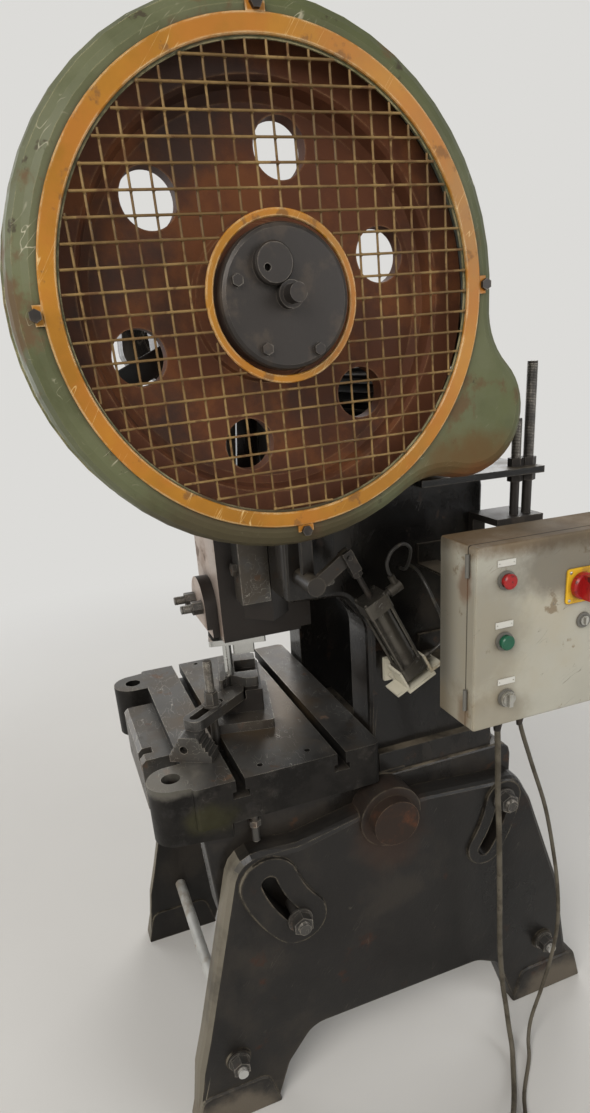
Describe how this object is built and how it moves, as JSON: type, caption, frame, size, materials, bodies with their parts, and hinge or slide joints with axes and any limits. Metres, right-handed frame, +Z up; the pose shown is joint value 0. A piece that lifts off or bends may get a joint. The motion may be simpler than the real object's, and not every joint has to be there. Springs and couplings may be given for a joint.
{
  "type": "mechanical stamping press",
  "caption": "Inclinable open-back mechanical stamping press with guarded flywheel, crank-driven ram, die set on a slotted bed, leg stand and side control cabinet.",
  "frame": {"origin": "centre of the machine's bounding box in plan, on the floor", "axes": "+Z up, -Y to the front where the operator stands, +X to the flywheel side"},
  "size_m": [0.976, 1.0184, 1.852],
  "materials": {
    "dark_paint": "oily dark grey machine paint with rust and dirt",
    "leg_paint": "worn dark grey paint with rust",
    "worn_steel": "worn, oily ground steel",
    "bright_steel": "bright turned steel",
    "black_steel": "dark blued steel",
    "rod_paint": "light grey paint",
    "bronze": "bearing bronze",
    "ram_steel": "worn scraped steel",
    "flywheel_rust": "rust brown cast iron",
    "guard_paint": "faded grey-green paint",
    "ring_paint": "orange-yellow paint",
    "mesh_paint": "tan-yellow painted wire",
    "motor_paint": "dark machine paint",
    "belt_rubber": "matte",
    "aluminium": "anodised",
    "foot_paint": "cream paint",
    "cabinet_paint": "light grey-beige powder coat, smoke stained",
    "switch_plastic": "light grey plastic",
    "yellow_plastic": "yellow plastic",
    "red_plastic": "red plastic",
    "green_plastic": "green plastic",
    "plated": "dull zinc plating",
    "cable_rubber": "dusty grey-brown cable jacket",
    "hose_plastic": "milky grey hose"
  },
  "bodies": {
    "stand": {"leg_right": "leg_paint", "leg_left": "leg_paint", "tie_rods": "rod_paint", "tie_nuts": "worn_steel", "trunnion_pins": "flywheel_rust", "supply_cables": "cable_rubber", "cable_plug": "red_plastic"},
    "frame": {"frame_casting": "dark_paint", "bolster": "worn_steel", "bearing_caps": "dark_paint", "cap_bolts": "black_steel", "bearing_bushes": "bronze", "gibs": "worn_steel", "gib_screws": "worn_steel", "apron_block": "worn_steel", "tilt_bolts": "worn_steel", "tilt_nuts": "worn_steel", "stop_bolt": "worn_steel", "die_base": "worn_steel", "die_block": "black_steel", "stripper_plate": "worn_steel", "strap_clamp": "worn_steel", "clamp_stud": "worn_steel", "step_block": "worn_steel", "guard_drum": "guard_paint", "grille_rings": "ring_paint", "grille_mesh": "mesh_paint", "guard_bolts": "black_steel", "guard_brackets": "dark_paint", "motor": "motor_paint", "motor_plate": "dark_paint", "tension_posts": "black_steel", "belts": "belt_rubber", "air_barrel": "aluminium", "air_feet": "foot_paint", "air_fittings": "aluminium", "air_hoses": "hose_plastic", "cabinet": "cabinet_paint", "cabinet_bracket": "dark_paint", "switchgear": "switch_plastic"},
    "crank": {"crankshaft": "worn_steel", "clutch_hub": "black_steel"},
    "rod": {"connecting_rod": "dark_paint", "rod_bolts": "black_steel", "ball_screw": "worn_steel"},
    "ram": {"ram_slide": "ram_steel", "clamp_cap": "ram_steel", "clamp_nuts": "worn_steel", "upper_die": "bright_steel"},
    "flywheel": {"flywheel": "flywheel_rust"},
    "motor_pulley": {"motor_pulley": "black_steel"},
    "air_rod": {"air_rod": "bright_steel"},
    "clutch_lever": {"clutch_lever": "dark_paint"},
    "door": {"cabinet_door": "cabinet_paint", "door_trim": "yellow_plastic"},
    "red_button": {"red_button": "red_plastic"},
    "green_button": {"green_button": "green_plastic"},
    "selector": {"selector": "plated"},
    "main_switch": {"main_switch": "red_plastic"},
    "door_lock": {"door_lock": "plated"}
  },
  "joints": [
    {"name": "frame_tilt", "type": "hinge", "parent": "stand", "child": "frame", "pos_m": [-0.085, 0.00245, 0.629], "axis": [-1, 0, 0], "range_deg": [0, 25], "deforming": ["supply_cables"]},
    {"name": "crank_turn", "type": "hinge", "parent": "frame", "child": "crank", "pos_m": [-0.085, -0.18755, 1.53], "axis": [1, 0, 0], "range_deg": [0, 180]},
    {"name": "rod_swing", "type": "hinge", "parent": "crank", "child": "rod", "pos_m": [-0.085, -0.18755, 1.545], "axis": [1, 0, 0], "range_deg": [-180, 0]},
    {"name": "ram_stroke", "type": "slide", "parent": "frame", "child": "ram", "axis": [0, 0, -1], "range_m": [0, 0.03]},
    {"name": "flywheel_spin", "type": "hinge", "parent": "frame", "child": "flywheel", "pos_m": [-0.085, -0.18755, 1.53], "axis": [1, 0, 0], "continuous": true},
    {"name": "motor_spin", "type": "hinge", "parent": "frame", "child": "motor_pulley", "pos_m": [0.265, 0.09745, 1.373], "axis": [1, 0, 0], "continuous": true},
    {"name": "air_stroke", "type": "slide", "parent": "frame", "child": "air_rod", "axis": [0, 0.454, -0.891], "range_m": [0, 0.02]},
    {"name": "lever_swing", "type": "hinge", "parent": "frame", "child": "clutch_lever", "pos_m": [0.185, -0.12066, 1.11158], "axis": [-1, 0, 0], "range_deg": [0, 16]},
    {"name": "door_swing", "type": "hinge", "parent": "frame", "child": "door", "pos_m": [0.3823, 0.06065, 1.0345], "axis": [0, 0, -1], "range_deg": [0, 110]},
    {"name": "red_press", "type": "slide", "parent": "door", "child": "red_button", "axis": [-1, 0, 0], "range_m": [0, 0.004], "stiffness_N_per_m": 600, "springref_m": -0.002},
    {"name": "green_press", "type": "slide", "parent": "door", "child": "green_button", "axis": [-1, 0, 0], "range_m": [0, 0.004], "stiffness_N_per_m": 600, "springref_m": -0.002},
    {"name": "selector_turn", "type": "hinge", "parent": "door", "child": "selector", "pos_m": [0.4003, 0.12545, 0.932], "axis": [1, 0, 0], "range_deg": [-45, 45]},
    {"name": "main_switch_turn", "type": "hinge", "parent": "door", "child": "main_switch", "pos_m": [0.4003, 0.26045, 1.1], "axis": [1, 0, 0], "range_deg": [0, 90]},
    {"name": "lock_turn", "type": "hinge", "parent": "door", "child": "door_lock", "pos_m": [0.4003, 0.27145, 1.038], "axis": [1, 0, 0], "range_deg": [0, 90]}
  ],
  "couplings": [
    {"joint": "rod_swing", "follows": "crank_turn", "ratio": -1},
    {"joint": "ram_stroke", "follows": "crank_turn", "m_per_rad": 0.009549},
    {"joint": "motor_spin", "follows": "flywheel_spin", "ratio": 9.2566},
    {"joint": "lever_swing", "follows": "air_stroke", "rad_per_m": 13.9}
  ]
}
